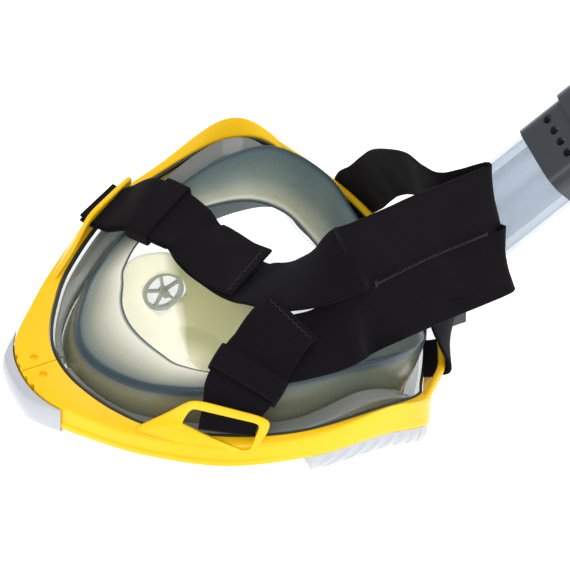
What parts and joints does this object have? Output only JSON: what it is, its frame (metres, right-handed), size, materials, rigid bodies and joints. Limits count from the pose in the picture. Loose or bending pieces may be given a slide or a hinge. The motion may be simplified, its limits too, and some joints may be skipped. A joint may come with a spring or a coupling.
{
  "type": "full-face snorkel mask",
  "caption": "Full-face snorkel mask with a clear lens, silicone skirt and nose cup, two-part frame, valved breathing path, snorkel with a dry top, and an elastic head strap.",
  "frame": {"origin": "centre of the flat front of the lens, on the symmetry plane", "axes": "+X towards the forehead and the snorkel, +Y to the wearer's left, +Z away from the lens towards the face"},
  "size_m": [0.3687, 0.2078, 0.135],
  "materials": {
    "yellow_shell": "satin injection-moulded yellow plastic",
    "steel": "stainless screws",
    "seal_rubber": "matte black sealing rubber",
    "clear_lens": "clear polycarbonate",
    "white_shell": "satin white plastic",
    "skirt_silicone": "smoky translucent silicone",
    "cup_silicone": "cream translucent silicone",
    "valve_plastic": "grey moulded plastic",
    "valve_silicone": "thin clear silicone",
    "dark_housing": "dark translucent plastic",
    "strap_fabric": "black woven elastic"
  },
  "bodies": {
    "mask": {"frame_left": "yellow_shell", "frame_right": "yellow_shell", "frame_screws": "steel", "frame_gasket": "seal_rubber", "lens": "clear_lens", "side_duct_left": "clear_lens", "side_duct_right": "clear_lens", "chin_cover": "white_shell", "brow_cover_left": "white_shell", "brow_cover_right": "white_shell", "skirt": "skirt_silicone", "nose_cup": "cup_silicone", "inhale_seat_left": "valve_plastic", "inhale_seat_right": "valve_plastic", "drain_seat": "valve_plastic", "drain_cover": "white_shell", "snorkel_socket": "dark_housing", "socket_gasket": "seal_rubber", "strap_band_left": "strap_fabric", "strap_band_right": "strap_fabric", "strap_seam": "strap_fabric", "jaw_tail_left": "strap_fabric", "jaw_tail_right": "strap_fabric", "keeper_left": "strap_fabric", "keeper_right": "strap_fabric"},
    "snorkel": {"tube": "clear_lens", "tube_divider": "dark_housing", "tube_plug": "dark_housing", "plug_seal": "seal_rubber", "upper_collar": "dark_housing", "float_housing": "dark_housing", "top_cap": "yellow_shell"},
    "left_float": {"float_left": "yellow_shell", "float_seal_left": "valve_silicone"},
    "right_float": {"float_right": "yellow_shell", "float_seal_right": "valve_silicone"},
    "release_button": {"release_button": "yellow_shell"},
    "left_inhale_disc": {"inhale_disc_left": "valve_silicone"},
    "right_inhale_disc": {"inhale_disc_right": "valve_silicone"},
    "drain_disc": {"drain_disc": "valve_silicone"},
    "left_exhale_flap": {"exhale_flap_left": "valve_silicone"},
    "right_exhale_flap": {"exhale_flap_right": "valve_silicone"}
  },
  "joints": [
    {"name": "snorkel_slide", "type": "slide", "parent": "mask", "child": "snorkel", "axis": [0.8358, 0, 0.549], "range_m": [0, 0.022]},
    {"name": "left_float_slide", "type": "slide", "parent": "snorkel", "child": "left_float", "axis": [0.8358, 0, 0.549], "range_m": [0, 0.008]},
    {"name": "right_float_slide", "type": "slide", "parent": "snorkel", "child": "right_float", "axis": [0.8358, 0, 0.549], "range_m": [0, 0.008]},
    {"name": "button_press", "type": "slide", "parent": "mask", "child": "release_button", "axis": [0.549, 0, -0.8358], "range_m": [0, 0.002]},
    {"name": "left_inhale_lift", "type": "slide", "parent": "mask", "child": "left_inhale_disc", "axis": [0, -0.9511, 0.309], "range_m": [0, 0.0015]},
    {"name": "right_inhale_lift", "type": "slide", "parent": "mask", "child": "right_inhale_disc", "axis": [0, 0.9511, 0.309], "range_m": [0, 0.0015]},
    {"name": "drain_lift", "type": "slide", "parent": "mask", "child": "drain_disc", "axis": [-0.6215, 0, -0.7835], "range_m": [0, 0.0015]},
    {"name": "left_exhale_hinge", "type": "hinge", "parent": "mask", "child": "left_exhale_flap", "pos_m": [0.1105, 0.0085, 0.016], "axis": [0, -1, 0], "range_deg": [0, 18]},
    {"name": "right_exhale_hinge", "type": "hinge", "parent": "mask", "child": "right_exhale_flap", "pos_m": [0.1105, -0.0085, 0.016], "axis": [0, -1, 0], "range_deg": [0, 18]}
  ]
}
